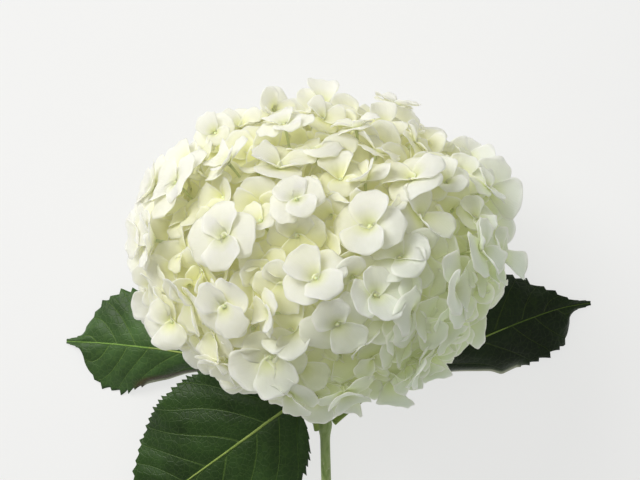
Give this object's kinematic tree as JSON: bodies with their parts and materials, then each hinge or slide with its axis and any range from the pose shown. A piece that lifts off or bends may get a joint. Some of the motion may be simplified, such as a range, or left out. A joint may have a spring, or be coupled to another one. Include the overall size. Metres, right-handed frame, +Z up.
{
  "type": "cut hydrangea flower",
  "caption": "Cut mophead hydrangea lying on a surface: a domed head of creamy four-sepal florets on branching stalks, a short woody stem and toothed green leaves.",
  "frame": {"origin": "centre of the bounding box's footprint on the surface that the flower lies on", "axes": "+Z up from the surface, +Y along the stem from its cut end to the flower head, +X to the right seen from above with the head at the top"},
  "size_m": [0.2683, 0.3138, 0.1691],
  "materials": {
    "sepals": "soft translucent creamy white, yellow-green towards the middle of each floret",
    "leaf_blade": "satin dark green, quilted between lighter veins",
    "stem_skin": "smooth light green young wood with fine pale dots"
  },
  "bodies": {
    "root": {"floret_cluster_01": "sepals", "floret_cluster_02": "sepals", "floret_cluster_03": "sepals", "floret_cluster_04": "sepals", "floret_cluster_05": "sepals", "floret_cluster_06": "sepals", "floret_cluster_07": "sepals", "floret_cluster_08": "sepals", "floret_cluster_09": "sepals", "floret_cluster_10": "sepals", "floret_cluster_11": "sepals", "floret_cluster_12": "sepals", "floret_cluster_13": "sepals", "floret_cluster_14": "sepals", "floret_cluster_15": "sepals", "floret_cluster_16": "sepals", "floret_cluster_17": "sepals", "floret_cluster_18": "sepals", "floret_cluster_19": "sepals", "floret_cluster_20": "sepals", "floret_cluster_21": "sepals", "floret_cluster_22": "sepals", "floret_cluster_23": "sepals", "floret_cluster_24": "sepals", "floret_cluster_25": "sepals", "floret_cluster_26": "sepals", "floret_cluster_27": "sepals", "floret_cluster_28": "sepals", "floret_cluster_29": "sepals", "floret_cluster_30": "sepals", "floret_cluster_31": "sepals", "floret_cluster_32": "sepals", "floret_cluster_33": "sepals", "floret_cluster_34": "sepals", "floret_cluster_35": "sepals", "floret_cluster_36": "sepals", "floret_cluster_37": "sepals", "floret_cluster_38": "sepals", "floret_cluster_39": "sepals", "floret_cluster_40": "sepals", "floret_cluster_41": "sepals", "floret_cluster_42": "sepals", "floret_cluster_43": "sepals", "floret_cluster_44": "sepals", "floret_cluster_45": "sepals", "floret_cluster_46": "sepals", "floret_cluster_47": "sepals", "floret_cluster_48": "sepals", "floret_cluster_49": "sepals", "floret_cluster_50": "sepals", "front_leaf": "leaf_blade", "left_leaf": "leaf_blade", "right_leaf": "leaf_blade", "stem": "stem_skin", "young_leaf": "leaf_blade"}
  },
  "joints": []
}
